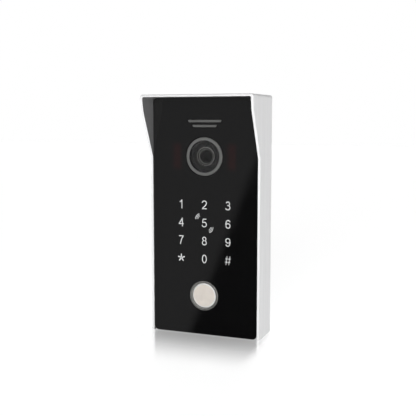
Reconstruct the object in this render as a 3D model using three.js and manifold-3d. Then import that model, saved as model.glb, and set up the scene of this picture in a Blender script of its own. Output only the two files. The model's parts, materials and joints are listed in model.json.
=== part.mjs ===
// Door intercom panel: a surface-mounted video door station in a folded metal rain hood.
// Millimetres, +Z up, +X to the right of a visitor, -Y towards the visitor. The origin is on
// the wall face, behind the middle of the front panel. Depths are distances from the wall.

import * as THREE from 'three';
import { mergeVertices } from 'three/addons/utils/BufferGeometryUtils.js';
import Module from 'manifold-3d';

const wasm = await Module();
wasm.setup();

// ---------------------------------------------------------------- driving dimensions

const fit = 0.3;                 // clearance between pieces that touch or seat in each other
const overlap = 0.5;             // how far joined solids of one piece run into each other

// front panel
const panelWidth = 84;
const panelHeight = 181;
const panelCorner = 3.5;
const glassThickness = 3;
const stationDepth = 28.5;       // wall to the front of the glass

// rain hood
const hoodWall = 1.8;
const hoodCorner = 2.2;
const hoodInnerCorner = 1.2;
const hoodLip = 0.3;             // how far the side rims stand in front of the glass
const visorReach = 18.5;         // how far the top stands in front of the glass
const visorSlope = 0.474;        // forward run of the slanted rim for each millimetre up
const visorBrow = 13.6;          // height of the curved rim above the slanted one
const visorBrowReach = 2.6;      // how far the curved rim runs forward
const tabWidth = 24;
const tabSetback = 0.5;          // security tab's front edge behind that of the housing
const tabScrewShift = 2;         // its screw hole in front of the tab's middle
const screwSink = 0.2;           // security screw's head above the tab's face
const hookWidth = 9;
const hookStem = 1.8;
const hookLip = 5;
const hookSpacing = 36;
const hookDrop = 14;             // hook stem below the top of the panel
const slotWidth = 4.6;           // wall screw slots
const slotLength = 9;
const slotSpacingX = 50;
const slotInsetTop = 28;
const slotInsetBottom = 19;

// layers behind the glass
const gasketThickness = 0.5;
const frameThickness = 2.5;
const frameInset = 0.4;
const sealThickness = 0.8;
const sealWidth = 1.8;
const housingWall = 2;
const housingInset = 1;          // housing side behind the edge of the panel
const housingCorner = 3;
const screwHeadRoom = 3.2;       // space for the wall screws behind the housing
const padSize = 8;
const padInsetTop = 14;
const padInsetBottom = 12;
const tabBossHeight = 6;

// camera
const cameraHeight = 46.7;
const ringOuter = 14.4;
const ringInner = 12.1;
const ringSeat = 10.8;
const ringProud = 0.3;
const ringFlange = 1.6;
const windowThickness = 1.5;
const windowRecess = 1;
const lensHead = 7;
const lensThread = 6;
const lensRecess = 2.1;          // rim of the lens to the seat of its front element
const lensChamfer = 0.8;
const lensRise = 1.3;            // height of the dome on the front element
const lensEdge = 0.3;
const lensRim = 1.3;
const lensGlass = 3.9;
const holderWidth = 17;
const holderEars = 27;
const sensorWidth = 8;
const sensorThickness = 0.9;
const sensorGap = 1.2;           // sensor to the back of the lens
const cameraBoardWidth = 30;
const cameraBoardHeight = 27;
const cameraBoardDepth = 9;
const earThickness = 2;
const earHeight = 6;
const cameraScrewInset = 2.5;

// infrared lamps
const lampOffset = 22;
const lampPitch = 7;
const lampRadius = 2.5;
const lampFlange = 0.3;
const lampBoardWidth = 9;
const lampBoardHeight = 35;
const lampBoardSetback = 4.9;    // back of the lamp boards behind the frame
const lampPinSpacing = 29;
const lampPinRadius = 1.6;
const lampPinStep = 0.6;
const lampPinEnd = 0.8;

// speaker
const barHeights = [73.15, 69.5];
const barLengths = [26.7, 19.4];
const barHeight = 1.7;
const barSlant = 0.7;            // how much shorter each end is along the bottom edge
const barThickness = 1.2;
const barHole = 0.4;
const barHolePitch = 2.1;
const speakerWidth = 32;
const speakerHeight = 19;
const speakerCorner = 4;
const speakerWall = 1.4;
const speakerDepth = 5;
const speakerGasket = 0.8;
const magnetRadius = 6.6;
const magnetShare = 0.66;        // of the room behind the magnet's face
const magnetGap = 0.6;
const coilGroove = 2.4;
const coilRadius = 4.6;
const coilWall = 0.5;
const coneDrop = 1.8;
const coneThickness = 0.6;
const coneTravel = 0.3;

// keypad
const keyPitchX = 19;
const keyPitchZ = 13.83;
const keypadCentre = -10.5;
const keyMargin = 9;             // window edge beyond the outer key centres
const diffuserThickness = 3;
const boardThickness = 1.6;
const keypadBorderX = 6.5;
const keypadBorderZ = 3.5;
const keypadScrewInset = 2.8;
const antennaWidth = 3;
const antennaCorner = 4;
const antennaInset = 1;          // coil edge inside the edge of the lit window
const antennaThickness = 0.8;

// call button
const buttonMargin = 2.355;      // keypad board to the nut of the button
const capRadius = 9.45;
const capBevel = 0.6;
const capTop = 2.2;
const capSkirt = 1.45;
const capRecess = 0.5;           // cap behind the front of the bezel
const bezelBorder = 1.6;         // width of the bezel's face
const bezelProud = 0.9;
const bezelTube = 0.85;
const bezelWeb = 1.2;
const bezelGroove = 0.25;
const bezelEdge = 0.3;
const buttonTravel = 1.2;
const springRoom = 4;            // web to the underside of the cap
const stemRadius = 3;
const stemNeck = 0.6;            // depth of the clip's groove
const clipPlay = 0.1;
const clipThickness = 0.8;
const clipReach = 1.6;
const stemLand = 0.6;
const springWire = 0.6;
const springTurns = 3;
const nutWidth = 2.8;
const nutReach = 3;
const switchSize = 8.5;
const switchFloor = 0.5;
const switchPlunger = 1.9;
const plungerStandout = 1.5;

// electronics in the housing
const bayWidth = 44;             // wiring bay, open towards the wall
const bayHeight = 26;
const bayCentre = -36;
const boardStack = 10.1;         // floor of the bay to the back of the front frame
const bayWall = 1.5;
const bayCorner = 3;
const mainBoardBottom = -78;
const mainBoardLead = 1.255;     // main board above the top of the keypad board
const mainBoardWidth = 68;
const boardScrewInset = 4;
const terminalRaise = 2;         // terminals above the middle of the bay
const poleCount = 4;
const polePitch = 5.08;
const terminalHeight = 9;
const terminalDepth = 2.6;
const polePin = 0.8;
const poleWell = 1.7;
const poleMouth = 3;
const relaySize = [14, 6, 20];
const relayDrop = 6;             // relay's middle below the button's axis
const relayGap = 1;
const chipSize = [12, 1.2, 12];
const connectorSize = [20, 3];
const cableWidth = 12;
const cableThickness = 0.4;
const cableLap = 8;              // length of cable lying on the back of the main board
const microphoneOffset = 22;
const microphoneShare = 0.215;   // microphone's radius, as a share of the housing's room
const microphoneHeight = 2.6;
const bootWall = 1.4;
const bootFloor = 1.2;
const bootLip = 1;
const soundHole = 0.8;

// screws
const smallScrew = { shaft: 1, head: 1.9, headHeight: 1.3 };
const caseScrew = { shaft: 1.4, head: 2.8, headHeight: 1.9 };
const screwLengths = { case: 10, camera: 6.5, keypad: 3.8, securityPast: 4 };
const securityScrew = { shaft: 1.4, head: 2.8, headHeight: 1.4 };
const caseScrewInset = 6;        // screw axis from the edges of the housing
const bossWall = 1.6;

// facets of a full circle
const fine = 40;
const medium = 24;
const coarse = 10;

// ---------------------------------------------------------------- derived places

const glassBack = stationDepth - glassThickness;
const gasketFront = glassBack - fit;
const gasketBack = gasketFront - gasketThickness;
const frameFront = gasketBack - fit;
const frameBack = frameFront - frameThickness;
const sealFront = frameBack - fit;
const sealBack = sealFront - sealThickness;
const housingFront = sealBack - fit;
const housingBack = hoodWall + screwHeadRoom;
const housingFloor = housingBack + housingWall;
const postTop = housingFloor + (frameBack - housingFloor) / 3;
const bayFloor = frameBack - boardStack;

const panelHalf = panelWidth / 2;
const panelTop = panelHeight / 2;
const hoodHalf = panelHalf + fit + hoodWall;
const hoodTop = panelTop + fit + hoodWall;
const hoodBottom = -panelTop - fit;
const housingHalf = panelHalf - housingInset;
const housingTop = panelTop - housingInset;
const housingBottom = hoodBottom + hoodWall + fit;
const hookHeight = panelTop - hookDrop;
const slotTop = panelTop - slotInsetTop;
const slotBottom = -panelTop + slotInsetBottom;
const mainBoardBack = bayFloor + bayWall + fit;
const mainBoardFront = mainBoardBack + boardThickness;
const keypadBoardBack = frameBack - fit - boardThickness;
const keyWindowHalfX = keyPitchX + keyMargin;
const keyWindowHalfZ = 1.5 * keyPitchZ + keyMargin;
const keypadBoardHalfX = keyWindowHalfX + keypadBorderX;
const keypadBoardHalfZ = keyWindowHalfZ + keypadBorderZ;
const mainBoardTop = keypadCentre + keypadBoardHalfZ + mainBoardLead;
const bore = capRadius + fit;
const tubeOuter = bore + bezelTube;
const bezelRadius = bore + bezelBorder;
const nutRadius = tubeOuter + nutReach;
const buttonHeight = keypadCentre - keypadBoardHalfZ - buttonMargin - nutRadius;
const lampBoardDepth = frameBack - lampBoardSetback;
const microphoneRadius = (housingFront - housingFloor) * microphoneShare;
const speakerCentre = (barHeights[0] + barHeights[1]) / 2;
const tabReach = housingFront - tabSetback;
const tabScrewDepth = (hoodWall + tabReach) / 2 + tabScrewShift;

// ---------------------------------------------------------------- solids

// A closed three.js geometry as a solid: shared corners merged, faces turned outwards.
function solid(geometry) {
  geometry.deleteAttribute('normal');
  geometry.deleteAttribute('uv');
  const merged = mergeVertices(geometry);
  const points = merged.attributes.position;
  const faces = [];
  let volume = 0;
  const corner = [new THREE.Vector3(), new THREE.Vector3(), new THREE.Vector3()];
  for (let i = 0; i < merged.index.count; i += 3) {
    const face = [0, 1, 2].map((k) => merged.index.getX(i + k));
    if (new Set(face).size < 3) continue;
    face.forEach((v, k) => corner[k].fromBufferAttribute(points, v));
    volume += corner[0].dot(corner[1].clone().cross(corner[2]));
    faces.push(face);
  }
  if (volume < 0) faces.forEach((face) => face.reverse());
  return new wasm.Manifold(new wasm.Mesh({
    numProp: 3,
    vertProperties: new Float32Array(points.array),
    triVerts: new Uint32Array(faces.flat()),
  }));
}

const join = (...pieces) => pieces.reduce((whole, piece) => whole.add(piece));
const cut = (body, ...tools) => tools.reduce((left, tool) => left.subtract(tool), body);

// Rectangle in the front view, with rounded corners.
function rectangle(x0, x1, z0, z1, radius = 0) {
  const shape = new THREE.Shape();
  if (radius === 0) {
    shape.moveTo(x0, z0).lineTo(x1, z0).lineTo(x1, z1).lineTo(x0, z1).closePath();
    return shape;
  }
  shape.moveTo(x0 + radius, z0);
  shape.absarc(x1 - radius, z0 + radius, radius, -Math.PI / 2, 0);
  shape.absarc(x1 - radius, z1 - radius, radius, 0, Math.PI / 2);
  shape.absarc(x0 + radius, z1 - radius, radius, Math.PI / 2, Math.PI);
  shape.absarc(x0 + radius, z0 + radius, radius, Math.PI, 1.5 * Math.PI);
  return shape;
}

const centred = (x, z, width, height, radius = 0) =>
  rectangle(x - width / 2, x + width / 2, z - height / 2, z + height / 2, radius);

// Solid with a front-view outline, between two distances from the wall.
function plate(shape, back, front, curveSegments = 3) {
  const geometry = new THREE.ExtrudeGeometry(shape, {
    depth: front - back, bevelEnabled: false, curveSegments,
  });
  return solid(geometry.rotateX(Math.PI / 2).translate(0, -back, 0));
}

// Solid with a side-view outline drawn as (distance from the wall, height).
function sideCut(shape, x0, x1, curveSegments = 6) {
  const geometry = new THREE.ExtrudeGeometry(shape, {
    depth: x1 - x0, bevelEnabled: false, curveSegments,
  });
  const side = new THREE.Matrix4().makeBasis(
    new THREE.Vector3(0, -1, 0), new THREE.Vector3(0, 0, 1), new THREE.Vector3(-1, 0, 0));
  return solid(geometry.applyMatrix4(side).translate(x1, 0, 0));
}

const profilePoints = (profile) => profile.map(([radius, along]) => new THREE.Vector2(radius, along));

// Turned piece whose axis points out of the wall; profile is [radius, distance from the wall].
const turned = (x, z, profile, segments = medium) =>
  solid(new THREE.LatheGeometry(profilePoints(profile), segments).rotateX(Math.PI).translate(x, 0, z));

// Turned piece whose axis is upright; profile is [radius, height].
const turnedUp = (x, depth, profile, segments = medium) =>
  solid(new THREE.LatheGeometry(profilePoints(profile), segments).rotateX(Math.PI / 2)
    .translate(x, -depth, 0));

const rod = (radius, low, high) => [[0, low], [radius, low], [radius, high], [0, high]];
const tube = (inner, outer, low, high) =>
  [[inner, low], [outer, low], [outer, high], [inner, high], [inner, low]];
const pin = (x, z, radius, back, front, segments = medium) =>
  turned(x, z, rod(radius, back, front), segments);

// Pan-head screw driven from the wall side: its head at headBack, its point towards the visitor.
function backScrew(x, z, size, headBack, length) {
  const seat = headBack + size.headHeight;
  const recess = size.head * 0.4;
  const body = turned(x, z, [
    [0, headBack], [size.head * 0.7, headBack], [size.head, headBack + size.headHeight / 2],
    [size.head, seat], [size.shaft, seat], [size.shaft, seat + length - size.shaft],
    [0, seat + length],
  ], coarse);
  return cut(body, pin(x, z, recess, headBack - fit, headBack + size.headHeight * 0.6, 6));
}

// The same screw driven from the visitor's side, its point towards the wall.
function frontScrew(x, z, size, headFront, length) {
  const seat = headFront - size.headHeight;
  const body = turned(x, z, [
    [0, headFront], [size.head * 0.7, headFront], [size.head, headFront - size.headHeight / 2],
    [size.head, seat], [size.shaft, seat], [size.shaft, seat - length + size.shaft],
    [0, seat - length],
  ], coarse);
  const recess = size.head * 0.4;
  return cut(body, pin(x, z, recess, headFront - size.headHeight * 0.6, headFront + fit, 6));
}

const corners = (halfX, low, high) => [[-halfX, low], [halfX, low], [-halfX, high], [halfX, high]];
const caseScrewPlaces = corners(housingHalf - caseScrewInset,
  housingBottom + caseScrewInset, housingTop - caseScrewInset);
const sides = [-1, 1];

// ---------------------------------------------------------------- materials and nodes

const finish = (color, roughness, metalness, opacity = 1) => new THREE.MeshStandardMaterial({
  color, roughness, metalness, opacity, transparent: opacity < 1,
});
const finishes = {
  satinAluminium: () => finish(0xd6d6d8, 0.45, 0.8),
  blackGlass: () => finish(0x101112, 0.08, 0),
  blackPlastic: () => finish(0x1a1a1b, 0.5, 0),
  greyPlastic: () => finish(0x3a3b3d, 0.55, 0),
  blackRubber: () => finish(0x141414, 0.85, 0),
  greyTrim: () => finish(0x7a7a78, 0.4, 0.5),
  stainless: () => finish(0xd8d0c8, 0.3, 1),
  clearAcrylic: () => finish(0x20242a, 0.03, 0, 0.4),
  milkAcrylic: () => finish(0xe6e8ea, 0.5, 0, 0.9),
  circuitBoard: () => finish(0x1f5a38, 0.5, 0),
  copper: () => finish(0xb87333, 0.35, 1),
  zincSteel: () => finish(0xb9bcc0, 0.35, 1),
  ferrite: () => finish(0x4a4d52, 0.4, 0.8),
  paperCone: () => finish(0x2a2826, 0.8, 0),
  terminalGreen: () => finish(0x2f7d4a, 0.45, 0),
  infraredResin: () => finish(0x2a1018, 0.1, 0, 0.8),
};

const group = new THREE.Group();

function node(name, piece, surface) {
  const { numProp, vertProperties, triVerts } = piece.getMesh();
  const geometry = new THREE.BufferGeometry();
  geometry.setAttribute('position', new THREE.BufferAttribute(new Float32Array(vertProperties), numProp));
  geometry.setIndex(new THREE.BufferAttribute(new Uint32Array(triVerts), 1));
  geometry.computeVertexNormals();
  const mesh = new THREE.Mesh(geometry, surface());
  mesh.name = name;
  group.add(mesh);
}

// ---------------------------------------------------------------- rain hood

// Side view of the hood: back plate at the left, visor at the top right.
function hoodSide() {
  const rim = stationDepth + hoodLip;
  const front = stationDepth + visorReach;
  const slantEnd = front - visorBrowReach;
  const slantTop = hoodTop - visorBrow;
  const round = hoodCorner / 2;
  const shape = new THREE.Shape();
  shape.moveTo(0, hoodBottom).lineTo(rim, hoodBottom);
  shape.lineTo(rim, slantTop - (slantEnd - rim) / visorSlope);
  shape.lineTo(slantEnd, slantTop);
  shape.quadraticCurveTo(slantEnd + visorBrowReach / 2, slantTop + visorBrowReach, front, hoodTop - round);
  shape.quadraticCurveTo(front, hoodTop, front - round, hoodTop);
  shape.lineTo(0, hoodTop).closePath();
  return shape;
}

function wallSlot(x, z) {
  return plate(centred(x, z, slotWidth, slotLength, slotWidth / 2 - 0.01), -1, hoodWall + 1);
}

// Hook that the station hangs on: a stem off the back plate with a lip turned up at its end.
function hook(x) {
  const wallFace = housingFloor + fit;
  const stem = plate(centred(x, hookHeight, hookWidth, hookStem), hoodWall / 2, wallFace + hookStem);
  const lipMiddle = hookHeight - hookStem / 2 + hookLip / 2;
  return join(stem, plate(centred(x, lipMiddle, hookWidth, hookLip), wallFace, wallFace + hookStem));
}

function rainHood() {
  const front = stationDepth + visorReach;
  const outside = plate(rectangle(-hoodHalf, hoodHalf, hoodBottom - 10, hoodTop, hoodCorner), 0, front, 5);
  const profiled = outside.intersect(sideCut(hoodSide(), -hoodHalf - 1, hoodHalf + 1));
  const room = plate(rectangle(-panelHalf - fit, panelHalf + fit, hoodBottom - 10, panelTop + fit,
    hoodInnerCorner), hoodWall, front + 1, 3);
  const tab = plate(rectangle(-tabWidth / 2, tabWidth / 2, hoodBottom, hoodBottom + hoodWall),
    hoodWall / 2, tabReach);
  const cableHole = plate(centred(0, bayCentre, bayWidth, bayHeight, bayCorner), -1, hoodWall + 1);
  const slots = sides.flatMap((s) => [slotTop, slotBottom].map((z) => wallSlot(s * slotSpacingX / 2, z)));
  const hollow = securityScrew.head + fit;
  const passage = securityScrew.shaft + fit;
  const sink = turnedUp(0, tabScrewDepth, [
    [0, hoodBottom - 1], [hollow, hoodBottom - 1], [hollow, hoodBottom + screwSink + fit],
    [passage, hoodBottom + screwSink + securityScrew.headHeight],
    [passage, hoodBottom + hoodWall + 1], [0, hoodBottom + hoodWall + 1],
  ]);
  const hooks = sides.map((s) => hook(s * hookSpacing / 2));
  return cut(join(cut(profiled, room), tab, ...hooks), cableHole, sink, ...slots);
}

// ---------------------------------------------------------------- front panel

// Bar outline with slanted ends, longer along its top edge; grow widens it all round.
function barOutline(length, z, grow) {
  const half = length / 2 + grow;
  const top = z + barHeight / 2 + grow;
  const bottom = z - barHeight / 2 - grow;
  const shape = new THREE.Shape();
  shape.moveTo(-half, top).lineTo(-half + barSlant, bottom).lineTo(half - barSlant, bottom);
  return shape.lineTo(half, top).closePath();
}

function frontGlass() {
  const sheet = plate(centred(0, 0, panelWidth, panelHeight, panelCorner), glassBack, stationDepth, 6);
  const through = [glassBack - 1, stationDepth + 1];
  const slots = barLengths.map((length, i) => plate(barOutline(length, barHeights[i], fit), ...through));
  return cut(sheet,
    pin(0, cameraHeight, ringOuter + fit, ...through, fine),
    pin(0, buttonHeight, tubeOuter + fit, ...through, fine),
    ...slots);
}

function speakerGrille(length, z) {
  const front = stationDepth - fit;
  const bar = plate(barOutline(length, z, 0), front - barThickness, front);
  const count = Math.floor((length / 2 - barSlant - barHolePitch / 2) / barHolePitch);
  const holes = [];
  for (let i = -count; i <= count; i += 1) {
    holes.push(pin(i * barHolePitch, z, barHole, front - barThickness - 1, front + 1, 6));
  }
  return cut(bar, ...holes);
}

// Ring of adhesive foam along the edge of the glass, with webs around each opening.
function panelGasket() {
  const sheet = plate(centred(0, 0, panelWidth - 2 * frameInset, panelHeight - 2 * frameInset,
    panelCorner - frameInset), gasketBack, gasketFront);
  const through = [gasketBack - 1, gasketFront + 1];
  const lampWindows = sides.map((s) =>
    plate(centred(s * lampOffset, cameraHeight, 2 * (lampRadius + 1), 3 * lampPitch + 2, 1), ...through));
  return cut(sheet,
    pin(0, cameraHeight, ringOuter + ringFlange + fit, ...through),
    pin(0, buttonHeight, bezelRadius + 2 * fit + ringFlange, ...through),
    plate(centred(0, speakerCentre, barLengths[0] + 3, 8, 1), ...through),
    plate(centred(0, keypadCentre, 2 * keyWindowHalfX, 2 * keyWindowHalfZ, 2), ...through),
    ...lampWindows);
}

function frontFrame() {
  const sheet = plate(centred(0, 0, panelWidth - 2 * frameInset, panelHeight - 2 * frameInset,
    panelCorner - frameInset), frameBack, frameFront);
  const bossEnd = postTop + fit;
  const bosses = caseScrewPlaces.map(([x, z]) =>
    pin(x, z, caseScrew.shaft + fit + bossWall, bossEnd, frameBack + overlap, coarse));
  const lampPins = sides.flatMap((s) => sides.flatMap((t) => {
    const x = s * lampOffset;
    const z = cameraHeight + t * lampPinSpacing / 2;
    return [
      pin(x, z, lampPinRadius + lampPinStep, lampBoardDepth + boardThickness + fit,
        frameBack + overlap, coarse),
      pin(x, z, lampPinRadius - lampPinStep, lampBoardDepth - lampPinEnd, frameBack + overlap, coarse),
    ];
  }));
  const body = join(sheet, ...bosses, ...lampPins);
  const through = [frameBack - 1, frameFront + 1];
  const lampHoles = lampPlaces.map(([x, z]) => pin(x, z, lampRadius + fit, ...through, coarse));
  const screwHoles = caseScrewPlaces.map(([x, z]) =>
    pin(x, z, caseScrew.shaft + fit, bossEnd - 1, frameFront - 1, coarse));
  const keypadHoles = keypadScrewPlaces.map(([x, z]) =>
    pin(x, z, smallScrew.shaft + fit, frameBack - 1, frameFront - 0.4, coarse));
  return cut(body,
    pin(0, cameraHeight, lensHead + 2 * fit, ...through),
    pin(0, buttonHeight, tubeOuter + fit, ...through),
    plate(centred(0, speakerCentre, barLengths[0] + 2, 7.5, 1), ...through),
    plate(centred(0, keypadCentre, 2 * keyWindowHalfX, 2 * keyWindowHalfZ, 2), ...through),
    ...lampHoles, ...screwHoles, ...keypadHoles);
}

// ---------------------------------------------------------------- housing

function housingSeal() {
  const outer = rectangle(-housingHalf, housingHalf, housingBottom, housingTop, housingCorner);
  const inner = rectangle(-housingHalf + sealWidth, housingHalf - sealWidth,
    housingBottom + sealWidth, housingTop - sealWidth, housingCorner - sealWidth / 2);
  return cut(plate(outer, sealBack, sealFront), plate(inner, sealBack - 1, sealFront + 1));
}

function rearHousing() {
  const outer = rectangle(-housingHalf, housingHalf, housingBottom, housingTop, housingCorner);
  const inner = rectangle(-housingHalf + housingWall, housingHalf - housingWall,
    housingBottom + housingWall, housingTop - housingWall, housingCorner - housingWall / 2);
  const shell = cut(plate(outer, housingBack, housingFront), plate(inner, housingFloor, housingFront + 1));
  const posts = caseScrewPlaces.map(([x, z]) =>
    pin(x, z, caseScrew.head + fit + bossWall / 2, housingFloor - 1, postTop, coarse));
  const padX = housingHalf - padSize / 2;
  const padLow = housingBottom + padSize / 2 + padInsetBottom;
  const padHigh = housingTop - padSize / 2 - padInsetTop;
  const pads = corners(padX, padLow, padHigh).map(([x, z]) =>
    plate(centred(x, z, padSize, padSize, 1), hoodWall + fit, housingBack + overlap));
  const bayShell = plate(centred(0, bayCentre, bayWidth + 2 * bayWall, bayHeight + 2 * bayWall, bayCorner),
    housingFloor - 1, bayFloor + bayWall);
  const boardPosts = boardScrewPlaces.map(([x, z]) =>
    pin(x, z, smallScrew.shaft + fit + bossWall, housingFloor - 1, mainBoardBack - fit, coarse));
  const cameraPosts = sides.map((s) => pin(s * cameraScrewOffset, cameraHeight,
    smallScrew.shaft + fit + bossWall / 2, housingFloor - 1, cameraBoardDepth - fit, coarse));
  const tabBoss = turnedUp(0, tabScrewDepth, rod(securityScrew.shaft + fit + bossWall,
    housingBottom + housingWall / 2, housingBottom + housingWall + tabBossHeight), coarse);
  const body = join(shell, bayShell, tabBoss, ...posts, ...pads, ...boardPosts, ...cameraPosts);

  const bay = plate(centred(0, bayCentre, bayWidth, bayHeight, bayCorner - bayWall / 2),
    housingBack - 1, bayFloor);
  const pinHoles = polePlaces.map((x) =>
    pin(x, terminalCentre, polePin, bayFloor - 1, bayFloor + bayWall + 1, 6));
  const caseHoles = caseScrewPlaces.flatMap(([x, z]) => [
    pin(x, z, caseScrew.head + fit, housingBack - 1, housingFloor + 0.6, coarse),
    pin(x, z, caseScrew.shaft + fit, housingBack - 1, postTop + 1, coarse),
  ]);
  const boardHoles = boardScrewPlaces.map(([x, z]) =>
    pin(x, z, smallScrew.shaft + fit, housingFloor, mainBoardBack + 1, coarse));
  const cameraHoles = sides.map((s) => pin(s * cameraScrewOffset, cameraHeight,
    smallScrew.shaft + fit, housingBack + 0.8, cameraBoardDepth, coarse));
  const hookSlots = sides.map((s) => {
    const top = hookHeight + hookStem / 2 + fit;
    const shape = rectangle(-hookWidth / 2 - fit, hookWidth / 2 + fit, top - hookLip - 2 * fit, top);
    return plate(shape, housingBack - 1, housingFloor + 1).translate([s * hookSpacing / 2, 0, 0]);
  });
  const tabHole = turnedUp(0, tabScrewDepth, rod(securityScrew.shaft + fit,
    housingBottom - 1, housingBottom + housingWall + tabBossHeight - 1), coarse);
  const microphoneHole = turnedUp(microphoneOffset, microphoneDepth, rod(soundHole,
    housingBottom - 1, housingBottom + housingWall + 1), coarse);
  return cut(body, bay, tabHole, microphoneHole,
    ...pinHoles, ...caseHoles, ...boardHoles, ...cameraHoles, ...hookSlots);
}

// ---------------------------------------------------------------- camera

function cameraRing() {
  const seat = stationDepth - windowRecess - windowThickness - fit;
  const edge = 0.3;
  return turned(0, cameraHeight, [
    [ringSeat, gasketBack], [ringOuter + ringFlange, gasketBack], [ringOuter + ringFlange, gasketFront],
    [ringOuter, gasketFront], [ringOuter, stationDepth + ringProud - edge],
    [ringOuter - edge, stationDepth + ringProud], [ringInner + edge, stationDepth + ringProud],
    [ringInner, stationDepth + ringProud - edge], [ringInner, seat], [ringSeat, seat],
    [ringSeat, gasketBack],
  ], fine);
}

const windowFront = stationDepth - windowRecess;
const lensFront = windowFront - windowThickness - 2 * fit;
const holderBack = cameraBoardDepth + boardThickness + fit;
const lensBack = holderBack + sensorThickness + sensorGap;
const shoulder = (lensBack + lensFront) / 2;
const lensFloor = lensFront - lensRecess;
const opticBore = lensGlass - 1;

const lensBarrelProfile = [
  [opticBore, lensBack], [lensThread, lensBack], [lensThread, shoulder], [lensHead, shoulder],
  [lensHead, lensFront - lensEdge], [lensHead - lensEdge, lensFront], [lensHead - lensRim, lensFront],
  [lensGlass + fit, lensFloor + lensChamfer], [lensGlass + fit, lensFloor], [opticBore, lensFloor],
  [opticBore, lensBack],
];

// Front element of the lens: a flat back and a domed face.
function frontLens() {
  const back = lensFloor + fit;
  const profile = [[0, back], [lensGlass, back]];
  const steps = 4;
  for (let i = 0; i <= steps; i += 1) {
    const turn = (i / steps) * Math.PI / 2;
    const radius = i === steps ? 0 : lensGlass * Math.cos(turn);
    profile.push([radius, back + lensEdge + lensRise * Math.sin(turn)]);
  }
  return turned(0, cameraHeight, profile);
}

const holderFront = shoulder - fit;
const cameraScrewOffset = holderEars / 2 - cameraScrewInset;

function lensHolder() {
  const block = plate(centred(0, cameraHeight, holderWidth, holderWidth, 1), holderBack, holderFront, 3);
  const ears = plate(centred(0, cameraHeight, holderEars, earHeight, 2), holderBack,
    holderBack + earThickness);
  const chamber = plate(centred(0, cameraHeight, sensorWidth + 3, sensorWidth + 3),
    holderBack - 1, holderBack + sensorThickness + 1);
  const holes = sides.map((s) => pin(s * cameraScrewOffset, cameraHeight, smallScrew.shaft + fit,
    holderBack - 1, holderBack + earThickness + 1, coarse));
  return cut(join(block, ears), chamber,
    pin(0, cameraHeight, lensThread + fit, holderBack + overlap, holderFront + 1), ...holes);
}

function cameraBoard() {
  const board = plate(centred(0, cameraHeight, cameraBoardWidth, cameraBoardHeight, 1),
    cameraBoardDepth, cameraBoardDepth + boardThickness, 3);
  const holes = sides.map((s) => pin(s * cameraScrewOffset, cameraHeight, smallScrew.shaft + fit,
    cameraBoardDepth - 1, cameraBoardDepth + boardThickness + 1, coarse));
  return cut(board, ...holes);
}

// ---------------------------------------------------------------- infrared lamps

const lampPlaces = sides.flatMap((s) =>
  [1, 0, -1].map((row) => [s * lampOffset, cameraHeight + row * lampPitch]));

function lampBoard(side) {
  const x = side * lampOffset;
  const board = plate(centred(x, cameraHeight, lampBoardWidth, lampBoardHeight, 1),
    lampBoardDepth, lampBoardDepth + boardThickness, 3);
  const holes = sides.map((t) => pin(x, cameraHeight + t * lampPinSpacing / 2,
    lampPinRadius - lampPinStep + fit, lampBoardDepth - 1, lampBoardDepth + boardThickness + 1, coarse));
  return cut(board, ...holes);
}

function lamp(x, z) {
  const base = lampBoardDepth + boardThickness + fit;
  const top = gasketFront - lampRadius;
  return turned(x, z, [
    [0, base], [lampRadius + lampFlange, base], [lampRadius + lampFlange, base + 1],
    [lampRadius, base + 1], [lampRadius, top], [lampRadius * 0.7, top + lampRadius * 0.7],
    [0, top + lampRadius],
  ], coarse);
}

// ---------------------------------------------------------------- speaker

const speakerFront = frameBack - fit - speakerGasket - fit;
const speakerBack = speakerFront - speakerDepth;
const coneBack = speakerFront - coneDrop;
const magnetFront = speakerBack + speakerWall + magnetGap;
const magnetBack = magnetFront - (magnetFront - housingFloor) * magnetShare;
const grooveFloor = magnetFront - coilGroove;

function speakerGasketRing() {
  const outer = centred(0, speakerCentre, speakerWidth, speakerHeight, speakerCorner);
  const inner = centred(0, speakerCentre, speakerWidth - 3, speakerHeight - 3, speakerCorner - 1.5);
  const back = frameBack - fit - speakerGasket;
  return cut(plate(outer, back, back + speakerGasket), plate(inner, back - 1, back + speakerGasket + 1));
}

function speakerFrame() {
  const outer = centred(0, speakerCentre, speakerWidth, speakerHeight, speakerCorner);
  const inner = centred(0, speakerCentre, speakerWidth - 2 * speakerWall, speakerHeight - 2 * speakerWall,
    speakerCorner - speakerWall);
  return cut(plate(outer, speakerBack, speakerFront),
    plate(inner, speakerBack + speakerWall, speakerFront + 1),
    pin(0, speakerCentre, magnetRadius + fit, speakerBack - 1, speakerFront));
}

// Ring magnet with a centre pole; the voice coil moves in the groove between them.
function speakerMagnet() {
  const grooveInner = coilRadius - coilWall - fit;
  const grooveOuter = coilRadius + fit;
  return turned(0, speakerCentre, [
    [0, magnetBack], [magnetRadius, magnetBack],
    [magnetRadius, magnetFront], [grooveOuter, magnetFront], [grooveOuter, grooveFloor],
    [grooveInner, grooveFloor], [grooveInner, magnetFront], [0, magnetFront],
  ]);
}

function speakerCone() {
  const inset = speakerWall + fit;
  const sheet = plate(centred(0, speakerCentre, speakerWidth - 2 * inset, speakerHeight - 2 * inset,
    speakerCorner - speakerWall), coneBack, coneBack + coneThickness);
  const coil = turned(0, speakerCentre,
    tube(coilRadius - coilWall, coilRadius, grooveFloor + coneTravel + fit, coneBack + overlap));
  return join(sheet, coil);
}

// ---------------------------------------------------------------- keypad

const keypadScrewPlaces = [[-1, 1], [1, -1]].map(([s, t]) =>
  [s * (keypadBoardHalfX - keypadScrewInset), keypadCentre + t * (keypadBoardHalfZ - keypadScrewInset)]);

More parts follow.
